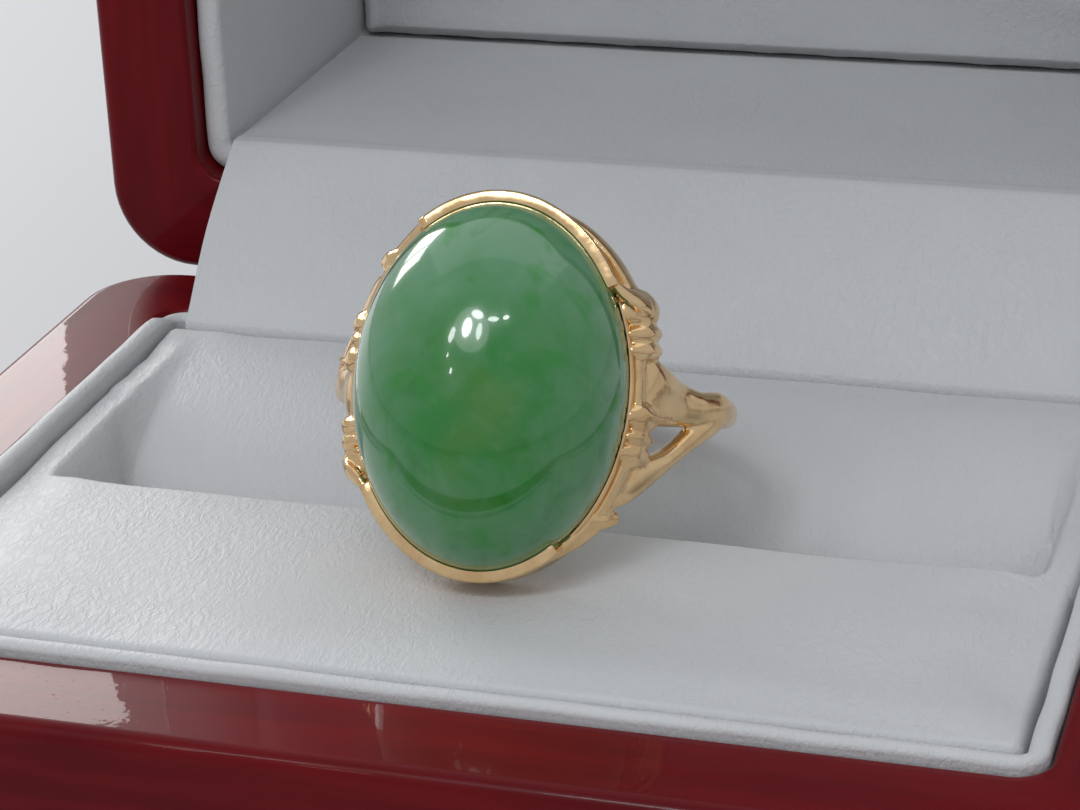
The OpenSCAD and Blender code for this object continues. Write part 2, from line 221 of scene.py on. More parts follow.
def result_of(obj, scale=1.0):
    """Points and faces of an object with its modifiers run."""
    evaluated = obj.evaluated_get(bpy.context.evaluated_depsgraph_get())
    mesh = evaluated.to_mesh()
    points = np.empty(len(mesh.vertices) * 3)
    mesh.vertices.foreach_get("co", points)
    faces = [tuple(p.vertices) for p in mesh.polygons]
    evaluated.to_mesh_clear()
    return points.reshape(-1, 3) / scale, faces


def cut(part, cutters):
    """part with each of the cutters taken out of it."""
    obj = temp_object(*part)
    others = [temp_object(*c) for c in cutters]
    for other in others:
        modifier = obj.modifiers.new("cut", "BOOLEAN")
        modifier.operation = "DIFFERENCE"
        modifier.solver = "EXACT"
        modifier.object = other
    made = result_of(obj)
    for o in [obj, *others]:
        bpy.data.objects.remove(o)
    return made


def fused(parts, voxel, rounds):
    """One cast skin over overlapping parts, its creases softened."""
    obj = temp_object(*joined(parts))
    remesh = obj.modifiers.new("fuse", "REMESH")
    remesh.mode = "VOXEL"
    remesh.voxel_size = voxel
    soften = obj.modifiers.new("soften", "SMOOTH")
    soften.factor = 0.5
    soften.iterations = rounds
    made = result_of(obj)
    bpy.data.objects.remove(obj)
    return made


def new_piece(name, part, material, sharp=35):
    """A smooth-shaded object from points in millimetres, with edges over the sharp angle kept crisp."""
    points, faces = part
    mesh = bpy.data.meshes.new(name)
    mesh.from_pydata((np.asarray(points) * MM).tolist(), [], faces)
    work = bmesh.new()
    work.from_mesh(mesh)
    bmesh.ops.recalc_face_normals(work, faces=work.faces)
    for face in work.faces:
        face.smooth = True
    for edge in work.edges:
        if len(edge.link_faces) == 2 and edge.calc_face_angle() > math.radians(sharp):
            edge.smooth = False
    work.to_mesh(mesh)
    work.free()
    obj = bpy.data.objects.new(name, mesh)
    bpy.context.scene.collection.objects.link(obj)
    mesh.materials.append(material)
    weighted = obj.modifiers.new("even_normals", "WEIGHTED_NORMAL")
    weighted.keep_sharp = True
    return obj


def catmull(controls, steps):
    """Smooth rows through the control rows, steps to each stretch."""
    rows = np.array(controls, float)
    rows = np.vstack([2 * rows[0] - rows[1], rows, 2 * rows[-1] - rows[-2]])
    out = []
    for i in range(1, len(rows) - 2):
        a, b, c, d = rows[i - 1:i + 3]
        for t in np.arange(steps) / steps:
            out.append(0.5 * (2 * b + (c - a) * t + (2 * a - 5 * b + 4 * c - d) * t * t
                              + (3 * b - a - 3 * c + d) * t ** 3))
    out.append(rows[-2])
    return np.array(out)


def rod(controls, ref, steps=6, sides=20):
    """Rod with round ends through rows of x, y, z, half width along ref's side, half thickness."""
    rows = catmull(controls, steps)
    heading = np.gradient(rows[:, :3], axis=0)
    heading /= np.linalg.norm(heading, axis=1)[:, None]
    side = np.cross(heading, np.array(ref, float))
    side /= np.linalg.norm(side, axis=1)[:, None]
    up = np.cross(side, heading)
    turns = 2 * np.pi * np.arange(sides) / sides
    loops = []

    def add_loop(i, shrink, ahead):
        centre = rows[i, :3] + heading[i] * ahead
        ring = [centre + shrink * (rows[i, 3] * math.cos(t) * side[i] + rows[i, 4] * math.sin(t) * up[i])
                for t in turns]
        loops.append(np.array(ring))

    cap = [(max(s, 0.08), c) for s, c in quarter(4)[:-1]]
    for s, c in cap:
        add_loop(0, s, -min(rows[0, 3:5]) * c)
    for i in range(len(rows)):
        add_loop(i, 1, 0)
    for s, c in cap[::-1]:
        add_loop(-1, s, min(rows[-1, 3:5]) * c)
    return loft(loops)


def grid_lines(low, high, step, fine=()):
    """Positions from low to high, step apart, or closer in the fine stretches of (low, high, step)."""
    spots = [low]
    while spots[-1] < high - 1e-6:
        here = spots[-1]
        spots.append(here + min([step] + [s for a, b, s in fine if a <= here < b]))
    if len(spots) > 2 and high - spots[-2] < 0.3 * step:
        spots.pop(-2)
    spots[-1] = high
    return np.array(spots)


def block(x_lines, y_lines, height, bottom, corner_r):
    """Closed block over a grid, its top at height(x, y), its upright corners rounded."""
    nx, ny = len(x_lines), len(y_lines)
    x, y = (a.ravel() for a in np.meshgrid(x_lines, y_lines, indexing="ij"))
    z = height(x, y)
    mid = np.array([x_lines[0] + x_lines[-1], y_lines[0] + y_lines[-1]]) / 2
    half = np.array([x_lines[-1] - x_lines[0], y_lines[-1] - y_lines[0]]) / 2
    flat = np.column_stack([x, y]) - mid
    into = np.abs(flat) - (half - corner_r)
    inside = (into > 0).all(axis=1)
    shrink = into[inside].max(axis=1) / np.hypot(*into[inside].T)
    flat[inside] = np.sign(flat[inside]) * (half - corner_r + into[inside] * shrink[:, None])
    top = np.column_stack([flat + mid, z])
    faces = [(i * ny + j, (i + 1) * ny + j, (i + 1) * ny + j + 1, i * ny + j + 1)
             for i in range(nx - 1) for j in range(ny - 1)]
    edge = ([i * ny for i in range(nx)] + [(nx - 1) * ny + j for j in range(1, ny)]
            + [i * ny + ny - 1 for i in range(nx - 2, -1, -1)] + [j for j in range(ny - 2, 0, -1)])
    levels = 8
    points, ring, start = [top], edge, nx * ny
    for k in range(1, levels + 1):
        skirt = top[edge].copy()
        skirt[:, 2] += (bottom - skirt[:, 2]) * k / levels
        points.append(skirt)
        below = list(range(start, start + len(edge)))
        faces += [(ring[i], ring[(i + 1) % len(ring)], below[(i + 1) % len(ring)], below[i])
                  for i in range(len(ring))]
        ring, start = below, start + len(edge)
    faces.append(tuple(ring))
    return np.concatenate(points), faces


def edge_drop(x, y, low, high, radius):
    """How far a rounded border of that radius falls below the top at x, y."""
    inward = np.minimum(np.minimum(x - low[0], high[0] - x), np.minimum(y - low[1], high[1] - y))
    short = np.clip(radius - inward, 0, radius)
    return radius - np.sqrt(radius ** 2 - short ** 2)


def swell(part, pinned, cap, voxel=0.75):
    """Moves the points of a stuffed cover as cloth pressed out by its filling moves, by cap at most.
    The cloth runs ten times as large as the cover, on a coarse copy, and pinned says what is glued."""
    scale, last_frame = 0.01, 20
    neighbours, closest = 6, 0.05
    points, faces = part
    shape = temp_object(points, faces, scale)
    remesh = shape.modifiers.new("even", "REMESH")
    remesh.mode = "VOXEL"
    remesh.voxel_size = voxel * scale
    start, coarse_faces = result_of(shape, scale)
    bpy.data.objects.remove(shape)
    cloth = temp_object(start, coarse_faces, scale)
    held = cloth.vertex_groups.new(name="held")
    held.add([int(i) for i in np.nonzero(pinned(*start.T))[0]], 1.0, "REPLACE")
    settings = cloth.modifiers.new("cloth", "CLOTH").settings
    settings.quality = 5
    settings.mass = 0.3
    settings.use_pressure = True
    settings.uniform_pressure_force = 4.0
    settings.effector_weights.gravity = 0
    settings.vertex_group_mass = "held"
    scene = bpy.context.scene
    for step in range(1, last_frame + 1):
        scene.frame_set(step)
    end, _ = result_of(cloth, scale)
    scene.frame_set(1)
    bpy.data.objects.remove(cloth)
    move = end - start
    length = np.linalg.norm(move, axis=1)
    move *= (np.minimum(length, cap) / np.maximum(length, 1e-9))[:, None]
    tree = KDTree(len(start))
    for i, point in enumerate(start):
        tree.insert(point, i)
    tree.balance()
    moved = np.array(points, float)
    for i, point in enumerate(points):
        near = tree.find_n(point, neighbours)
        weight = np.array([1 / (d + closest) for _, _, d in near])
        moved[i] += (move[[n for _, n, _ in near]] * weight[:, None]).sum(axis=0) / weight.sum()
    return moved, faces


# ---- materials ----

class Nodes:
    """A short way to build a material's nodes. Constants stay on the shader's own sockets."""

    def __init__(self, name, **inputs):
        self.material = bpy.data.materials.new(name)
        self.material.use_nodes = True
        self.tree = self.material.node_tree
        self.shader = self.tree.nodes["Principled BSDF"]
        for key, value in inputs.items():
            self.shader.inputs[key.replace("_", " ")].default_value = value
        self.place = self.add("ShaderNodeTexCoord").outputs["Object"]

    def add(self, kind, inputs=None, **settings):
        node = self.tree.nodes.new(kind)
        for key, value in settings.items():
            setattr(node, key, value)
        for key, value in (inputs or {}).items():
            if isinstance(value, bpy.types.NodeSocket):
                self.tree.links.new(value, node.inputs[key])
            else:
                node.inputs[key].default_value = value
        return node

    def moved(self, scale=(1, 1, 1), turn=(0, 0, 0)):
        return self.add("ShaderNodeMapping", {"Vector": self.place, "Scale": scale,
                                              "Rotation": [math.radians(a) for a in turn]}).outputs[0]

    def noise(self, size, detail=3.0, rough=0.5, bend=0.0, place=None):
        """Noise whose features are about size millimetres across."""
        return self.add("ShaderNodeTexNoise", {"Vector": place or self.place, "Scale": 1 / (size * MM),
                                               "Detail": detail, "Roughness": rough,
                                               "Distortion": bend}).outputs["Fac"]

    def spread(self, value, low, high, to_low=0.0, to_high=1.0):
        return self.add("ShaderNodeMapRange", {"Value": value, "From Min": low, "From Max": high,
                                               "To Min": to_low, "To Max": to_high}).outputs[0]

    def math(self, operation, a, b=0.0):
        return self.add("ShaderNodeMath", {0: a, 1: b}, operation=operation).outputs[0]

    def mix(self, factor, a, b):
        node = self.add("ShaderNodeMix", data_type="RGBA")
        for socket, value in ((node.inputs[0], factor), (node.inputs[6], a), (node.inputs[7], b)):
            if isinstance(value, bpy.types.NodeSocket):
                self.tree.links.new(value, socket)
            else:
                socket.default_value = value
        return node.outputs[2]

    def bump(self, height, depth, normal=None):
        """Bump whose height of 1 stands depth millimetres."""
        inputs = {"Height": height, "Distance": depth * MM, "Strength": 1.0}
        if normal is not None:
            inputs["Normal"] = normal
        return self.add("ShaderNodeBump", inputs).outputs[0]

    def link(self, **inputs):
        for key, socket in inputs.items():
            self.tree.links.new(socket, self.shader.inputs[key.replace("_", " ")])
        return self.material


def lacquered_wood(name, depth_axis, middle, rails_end):
    """Deep cherry red lacquer over fine straight grain that runs along each rail and turns at the mitres.
    The side rails run along depth_axis, 1 for Y and 2 for Z, and middle is their middle on it. Past
    rails_end, on the third axis, is the plain top panel."""
    n = Nodes(name, Roughness=0.35, Specular_IOR_Level=0.08, Coat_Weight=1.0,
              Coat_Roughness=0.02, Coat_IOR=1.145)
    parts = n.add("ShaderNodeSeparateXYZ", {0: n.place})
    away_x = n.math("SUBTRACT", n.math("ABSOLUTE", parts.outputs[0]), (case_high[0] - case_high[1]) * MM)
    away_deep = n.math("ABSOLUTE", n.math("SUBTRACT", parts.outputs[depth_axis], middle * MM))
    on_rail = n.math("LESS_THAN", parts.outputs[3 - depth_axis], rails_end * MM)
    sideways = n.math("MULTIPLY", n.math("GREATER_THAN", away_x, away_deep), on_rail)
    fine, long = 1.6, 0.12
    along_x = n.noise(2.2, 5, 0.6, 0.4, n.moved((long, fine, fine)))
    along_deep = n.noise(2.2, 5, 0.6, 0.4, n.moved([long if k == depth_axis else fine for k in range(3)]))
    figure = n.add("ShaderNodeMix", {0: sideways, 2: along_x, 3: along_deep}, data_type="FLOAT").outputs[0]
    cloud = n.noise(14, 2)
    depth = n.math("ADD", n.math("MULTIPLY", figure, 0.75), n.math("MULTIPLY", cloud, 0.25))
    depth = n.spread(depth, 0.32, 0.68)
    colour = n.mix(depth, (0.088, 0.0015, 0.004, 1), (0.168, 0.004, 0.007, 1))
    peel = n.bump(n.noise(1.1, 2), 0.003)
    dust = n.bump(n.spread(n.noise(0.25, 2), 0.68, 0.75), 0.003, peel)
    return n.link(Base_Color=colour, Coat_Normal=dust)


def leatherette():
    """Pale coated cloth with soft grain, shallow creases that mostly run one way, and a satin sheen."""
    n = Nodes("leatherette", Roughness=0.5, Specular_IOR_Level=0.4, Sheen_Weight=0.06, Sheen_Roughness=0.4)
    slanted = n.moved((1.5, 0.65, 1.0), (0, 0, 35))
    away = n.math("ABSOLUTE", n.math("SUBTRACT", n.noise(0.66, 3, 0.55, 0.4, slanted), 0.5))
    crease = n.spread(away, 0.0, 0.12)
    grain = n.noise(0.30, 2, 0.5, 0.2, n.moved((1.25, 0.75, 1.0), (0, 0, 35)))
    wide = n.noise(4.5, 2)
    patch = n.spread(n.noise(8, 2), 0.35, 0.6, 0.4, 1.0)
    height = n.math("ADD", n.math("MULTIPLY", crease, 0.40), n.math("MULTIPLY", grain, 0.6))
    height = n.math("ADD", n.math("MULTIPLY", height, patch), n.math("MULTIPLY", wide, 0.8))
    tone = n.spread(n.math("ADD", n.math("MULTIPLY", n.noise(9, 3), 0.8), n.math("MULTIPLY", grain, 0.2)),
                    0.3, 0.7)
    colour = n.mix(tone, (0.585, 0.592, 0.600, 1), (0.625, 0.632, 0.640, 1))
    return n.link(Base_Color=colour, Roughness=n.spread(crease, 0, 1, 0.56, 0.47),
                  Normal=n.bump(height, 0.045))


def gold():
    """Polished yellow gold, with softly uneven polish and fine wear scratches."""
    n = Nodes("gold", Metallic=1.0, Roughness=0.14)
    worn = n.noise(1.6, 4, 0.6)
    colour = n.mix(n.spread(worn, 0.35, 0.65), (0.78, 0.52, 0.26, 1), (0.94, 0.68, 0.37, 1))
    scratch = n.noise(0.5, 3, 0.6, 0.2, n.moved((1, 0.08, 1), (20, 10, 35)))
    wave = n.bump(n.noise(1.0, 2), 0.03)
    return n.link(Base_Color=colour, Roughness=n.spread(worn, 0.3, 0.7, 0.10, 0.22),
                  Normal=n.bump(scratch, 0.0025, wave))


def jade():
    """Polished jade: cloudy grey-green, greener and warmer in its middle, with vivid small spots."""
    n = Nodes("jade", Roughness=0.16, Specular_IOR_Level=0.3, IOR=1.6, Coat_Weight=1.0, Coat_Roughness=0.015,
              Subsurface_Weight=0.10, Subsurface_Scale=1.2 * MM, Subsurface_Radius=(0.5, 1.0, 0.45))
    middle = Vector(in_slot([(0.3, -1.3, 3.6)])[0]) * MM
    away = n.add("ShaderNodeVectorMath", {0: n.place, 1: middle}, operation="DISTANCE").outputs["Value"]
    cloud = n.noise(4.5, 4, 0.55, 0.7)
    core = n.math("ADD", n.spread(away, 1.5 * MM, 7.5 * MM, 1.0, 0.0), n.spread(cloud, 0.3, 0.7, -0.4, 0.4))
    colour = n.mix(n.spread(core, 0.0, 0.95), (0.100, 0.275, 0.132, 1), (0.006, 0.200, 0.017, 1))
    warm = n.spread(n.noise(3.4, 3, 0.5, 0.5), 0.45, 0.62, 0.0, 0.75)
    colour = n.mix(n.math("MULTIPLY", warm, n.spread(away, 2 * MM, 5 * MM, 1.0, 0.0)), colour,
                   (0.050, 0.205, 0.013, 1))
    veins = n.spread(n.noise(2.0, 4, 0.6, 1.5, n.moved((1.0, 0.6, 0.6), (0, 30, 20))), 0.56, 0.70, 0.0, 0.55)
    colour = n.mix(veins, colour, (0.009, 0.165, 0.018, 1))
    spots = n.spread(n.noise(2.0, 2, 0.5, 0.3), 0.60, 0.72, 0.0, 0.8)
    colour = n.mix(spots, colour, (0.005, 0.225, 0.010, 1))
    milk = n.spread(n.noise(3.0, 4, 0.6, 1.0), 0.52, 0.78, 0.0, 0.4)
    colour = n.mix(milk, colour, (0.140, 0.320, 0.175, 1))
    return n.link(Base_Color=colour)


def brass():
    """Satin brass with a brushed grain and slight tarnish."""
    n = Nodes("hinge_brass", Metallic=1.0, Roughness=0.3)
    tarnish = n.spread(n.noise(1.4, 4, 0.6), 0.4, 0.7)
    colour = n.mix(tarnish, (0.80, 0.57, 0.26, 1), (0.55, 0.36, 0.16, 1))
    brushed = n.noise(0.15, 2, 0.5, 0.0, n.moved((0.05, 1, 1)))
    return n.link(Base_Color=colour, Roughness=n.spread(brushed, 0.3, 0.7, 0.24, 0.42),
                  Normal=n.bump(brushed, 0.004))


def steel():
    """Drawn spring wire."""
    n = Nodes("spring_steel", Metallic=1.0, Roughness=0.25)
    drawn = n.noise(0.3, 3, 0.5)
    colour = n.mix(n.spread(drawn, 0.3, 0.7), (0.42, 0.42, 0.43, 1), (0.62, 0.62, 0.63, 1))
    return n.link(Base_Color=colour, Normal=n.bump(drawn, 0.004))


def felt():
    """Dark felt with tangled short fibres."""
    n = Nodes("felt", Roughness=0.95, Specular_IOR_Level=0.1, Sheen_Weight=0.6, Sheen_Roughness=0.5)
    fibre = n.noise(0.18, 5, 0.7, 2.0)
    colour = n.mix(n.spread(fibre, 0.35, 0.65), (0.016, 0.016, 0.018, 1), (0.05, 0.05, 0.055, 1))
    return n.link(Base_Color=colour, Normal=n.bump(fibre, 0.12))


def card():
    """Grey-brown pressed card."""
    n = Nodes("card", Roughness=0.9, Specular_IOR_Level=0.2)
    pulp = n.noise(0.5, 5, 0.7, 0.6)
    colour = n.mix(n.spread(pulp, 0.35, 0.65), (0.26, 0.21, 0.15, 1), (0.40, 0.34, 0.26, 1))
    return n.link(Base_Color=colour, Normal=n.bump(pulp, 0.05))


base_lacquer = lacquered_wood("lacquered_wood", 1, 0, rim_z + 1)
lid_lacquer = lacquered_wood("lacquered_wood_lid", 2, (lid_low[2] + lid_high[2]) / 2,
                             lid_high[1] - TOP_ROUND)
leather_look, gold_look, jade_look = leatherette(), gold(), jade()
brass_look, steel_look, felt_look, card_look = brass(), steel(), felt(), card()


# ---- wooden case ----

def case_shell(closed_z, open_z, closed_round, inner_z):
    """Box shell with rounded edges, from its closed end at closed_z to its rim at open_z."""
    way = 1 if open_z > closed_z else -1
    loops = []
    for s, c in quarter(7)[::-1]:
        inset, rise = closed_round * (1 - c), closed_round * (1 - s)
        loops.append(inset_rect(case_low, case_high, CORNER_R, inset, closed_z + way * rise))
    for s, c in quarter(8):
        inset, drop = RIM_ROUND * (1 - c), RIM_ROUND * (1 - s)
        loops.append(inset_rect(case_low, case_high, CORNER_R, inset, open_z - way * drop))
    inner_round, inner_r = 0.3, 1.5
    for s, c in quarter(4):
        loops.append(inset_rect(floor_low, floor_high, inner_r, -inner_round * (1 - s),
                                open_z - way * inner_round * (1 - c)))
    loops.append(inset_rect(floor_low, floor_high, inner_r, 0, inner_z))
    return loft(loops)


def hinge_cutters(level, pin_z, way):
    """Room for the two hinges' barrels and leaves in a rear rail whose rim is at level and faces way."""
    barrel_room, end_room, leaf_room = 0.2, 0.5, 0.1
    seat_r, past_barrel, past_rim = 0.3, 1, 1.0
    turns = np.radians(np.arange(0, 360, 7.5))
    half = HINGE_HALF + leaf_room
    cutters = []
    for middle in (-HINGE_X, HINGE_X):
        barrel = [np.column_stack([np.full(len(turns), middle + x),
                                   hinge_y + (BARREL_R + barrel_room) * np.cos(turns),
                                   pin_z + (BARREL_R + barrel_room) * np.sin(turns)])
                  for x in (-HINGE_HALF - end_room, HINGE_HALF + end_room)]
        cutters.append(loft(barrel))
        seat = rounded_rect((middle - half, hinge_y - LEAF_W - leaf_room),
                            (middle + half, hinge_y + past_barrel), seat_r, 4)
        cutters.append(loft([np.column_stack([seat, np.full(len(seat), level - way * deep)])
                             for deep in (LEAF_T + leaf_room, -past_rim)]))
    return cutters


def make_cases():
    base = cut(case_shell(case_low[2], rim_z, FOOT_ROUND, floor_high[2]), hinge_cutters(rim_z, hinge_z, 1))
    base_case = new_piece("base_case", base, base_lacquer)
    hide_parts("base_front_rail", "base_rear_rail", "base_left_rail", "base_right_rail",
                "base_bottom_panel")
    lid = cut(case_shell(lid_height, 0, TOP_ROUND, lid_height - PANEL_T),
              hinge_cutters(0, rim_z - hinge_z, -1))
    lid_case = new_piece("lid_case", (on_lid(lid[0]), lid[1]), lid_lacquer)
    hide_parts("lid_front_rail", "lid_rear_rail", "lid_left_rail", "lid_right_rail",
                "lid_top_panel")
    for piece, body in ((base_case, "base"), (lid_case, "lid")):
        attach(piece, body)


# ---- lining ----

def ripple(x, y, z, size, seed):
    """Smooth unevenness between about -1 and 1, with waves about size millimetres long."""
    waves, shortest, longest, tallest = 6, 0.6, 1.6, 3.5
    total = np.zeros(np.shape(x))
    rng = np.random.default_rng(seed)
    for _ in range(waves):
        way = rng.normal(size=3)
        way /= np.linalg.norm(way)
        length = size * rng.uniform(shortest, longest)
        total += np.sin(2 * np.pi * (way[0] * x + way[1] * y + way[2] * z) / length + rng.uniform(0, 6.28))
    return total / tallest


def lining_ring(bottom, top_of, way, thick):
    """Wrapped cards round the inside, with a rolled top edge at the heights top_of gives."""
    low, high = liner_low[:2] - WRAP_T, liner_high[:2] + WRAP_T
    steps = dict(corner_steps=8, edge_steps=60)
    outer_r, inner_r = 1.35, 0.4
    waver, flatness = 0.035, 0.8
    loops = [inset_rect(low, high, outer_r, 0, bottom, **steps)]
    roll = thick / 2
    for turn in np.radians(np.arange(0, 181, 15)):
        inset = roll * (1 - math.cos(turn))
        radius = outer_r + (inner_r - outer_r) * inset / thick + inset
        flat = inset_rect(low, high, radius, inset, 0, **steps)
        top = top_of(flat[:, 0], flat[:, 1])
        flat[:, 2] = top - way * roll * flatness * (1 - math.sin(turn))
        loops.append(flat)
    loops.append(inset_rect(low, high, inner_r + thick, thick, bottom, **steps))
    points, faces = loft(loops, ring=True)
    x, y, z = points.T
    points = points + waver * np.column_stack([ripple(x, y, z, 6, 3), ripple(x, y, z, 6, 4),
                                               ripple(x, y, z, 5, 5)])
    return points, faces


def make_linings():
    end_gap, crisp = 0.05, 60
    dip_from, dip_to = liner_high[1] - 2.6, liner_high[1] - 1.0
    edge_z = liner_high[2] - BASE_LINING_DROP

    def base_top(x, y):
        """Level round the front and the sides, and down to the rim at the back."""
        return edge_z + (rim_z - edge_z) * smoothstep(y, dip_from, dip_to)

    base_part = lining_ring(floor_high[2] + end_gap, base_top, 1, BASE_LINING_T)
    base_lining = new_piece("base_lining", base_part, leather_look, crisp)
    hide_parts("base_liner_front", "base_liner_rear", "base_liner_left", "base_liner_right")
    recess = lid_liner_low[1] - lid_rim_y
    inside_top = lid_height - PANEL_T - end_gap
    points, faces = lining_ring(inside_top, lambda x, y: np.full(np.shape(x), recess), -1, LINER_T + WRAP_T)
    lid_lining = new_piece("lid_lining", (on_lid(points), faces), leather_look, crisp)
    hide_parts("lid_liner_front", "lid_liner_rear", "lid_liner_left", "lid_liner_right")
    for piece, body in ((base_lining, "base"), (lid_lining, "lid")):
        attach(piece, body)


# ---- pads ----

def slot_heights():
    """Y and Z along the slot's section, front to back, its corners rounded."""
    rear = pad_high[1]
    floor_end = rear - SLOT_REAR_RUN
    past_front, past_rear = 1, 2
    turns = np.radians(np.linspace(0, 90, 30))
    ys = np.concatenate([[pad_low[1] - past_front, SLOT_FRONT_Y, floor_end - SLOT_FLOOR_RUN],
                         floor_end + SLOT_REAR_RUN * (1 - np.cos(turns)), [rear + past_rear]])
    zs = np.concatenate([[0, 0, -SLOT_DEPTH], -SLOT_DEPTH * (1 - np.sin(turns)), [0]])
    step, corner_steps = 0.02, 33
    fine_y = np.arange(ys[0], ys[-1], step)
    fine_z = np.interp(fine_y, ys, zs)
    window = np.hanning(corner_steps)
    fine_z = np.convolve(np.pad(fine_z, corner_steps // 2, mode="edge"), window / window.sum(), mode="valid")
    return fine_y, fine_z


def ring_pad_height():
    """Height of the ring pad's top at x, y, as a function."""
    ys, zs = slot_heights()
    swell_room, border = 0.08, 0.4
    front_rise, rise_run = 0.42, 6.0
    bow, bow_from, bow_reach = 0.65, 17.5, 3.0       # the crest bends back towards the slot's ends
    end_in, end_out = 0.75, 0.2                      # the slot's ends slope between these
    waver, fold_depth = 0.05, 0.10
    fold_in, fold_w, fold_y, fold_reach = 0.6, 2.2, 11, 8    # small folds down the slot's ends
    rear = pad_high[1] - PAD_REAR_GAP

    def height(x, y):
        ends = np.abs(x)
        crest_back = bow * np.clip((ends - bow_from) / (SLOT_HALF - bow_from), 0, 1) ** 2
        share = 1 - smoothstep(ends, SLOT_HALF - end_in, SLOT_HALF + end_out)
        near_crest = np.exp(-((y - SLOT_FRONT_Y) / bow_reach) ** 2)
        z = rim_z + np.interp(y - crest_back * near_crest, ys, zs) * share
        z += front_rise * (1 - smoothstep(y, pad_low[1], pad_low[1] + rise_run))
        z -= edge_drop(x, y, pad_low, (pad_high[0], rear), border)
        folds = (np.exp(-((ends - SLOT_HALF + fold_in) / fold_w) ** 2)
                 * np.exp(-((y - fold_y) / fold_reach) ** 2))
        z += waver * ripple(x, y, 0 * x, 9, 11) + fold_depth * folds * ripple(x, y, 0 * x, 2.6, 12)
        return z - swell_room

    return height


def make_ring_pad():
    """Foam pad under its cover, with the ring's slot across it."""
    low, high = pad_low, pad_high
    rear = high[1] - PAD_REAR_GAP
    edge_step, bend_step, end_stretch = 0.16, 0.12, 2.4
    x_lines = grid_lines(low[0], high[0], 0.5, [(low[0], low[0] + end_stretch, edge_step),
                                                (high[0] - end_stretch, high[0], edge_step)])
    slope_top = high[1] - SLOT_REAR_RUN
    y_lines = grid_lines(low[1], rear, 0.45, [(low[1], low[1] + 0.8, edge_step),
                                              (SLOT_FRONT_Y - 0.8, SLOT_FRONT_Y + 1.6, bend_step),
                                              (slope_top - 0.6, slope_top + 1.5, bend_step),
                                              (rear - 1.2, rear, edge_step)])
    foam_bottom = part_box("pad_foam")[0].z / MM
    part = block(x_lines, y_lines, ring_pad_height(), foam_bottom, 0.5)
    glued_side, glued_floor, most_swell = 9, 0.6, 0.3

    def glued(x, y, z):
        on_floor = (z < rim_z - SLOT_DEPTH + glued_floor) & (np.abs(x) < SLOT_HALF)
        return (z < foam_bottom + glued_side) | on_floor

    pad = new_piece("ring_pad", swell(part, glued, most_swell), leather_look, 75)
    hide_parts("pad_foam", "pad_cover")
    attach(pad, "base")


def make_lid_pad():
    """Crowned panel in the roof of the lid, built on the closed lid."""
    half_w, half_d = (lid_pad_high[0] - lid_pad_low[0]) / 2, (lid_pad_high[2] - lid_pad_low[2]) / 2
    face, back = lid_pad_low[1] - lid_rim_y, lid_pad_high[1] - lid_rim_y
    crown, border, swell_room, waver = 0.45, 0.6, 0.1, 0.04
    glued_height = 0.6

    def height(x, y):
        belly = (1 - (x / half_w) ** 4) * (1 - (y / half_d) ** 4)
        drop = edge_drop(x, y, (-half_w, -half_d), (half_w, half_d), border)
        return -face + 0.5 * crown * belly - drop - swell_room + waver * ripple(x, y, 0 * x, 10, 21)

    def lines(half):
        stretch, edge_step = 0.8, 0.2
        return grid_lines(-half, half, 0.7, [(-half, -half + stretch, edge_step),
                                             (half - stretch, half, edge_step)])

    part = block(lines(half_w), lines(half_d), height, -back, 0.5)
    points, faces = swell(part, lambda x, y, z: z < -back + glued_height, crown, 0.6)
    points = points * (1, 1, -1)                     # face down, as the lid's roof is
    pad = new_piece("lid_pad", (on_lid(points), faces), leather_look, 75)
    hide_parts("lid_pad_foam", "lid_pad_cover")
    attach(pad, "lid")


# ---- strip of leatherette that hides the hinges ----

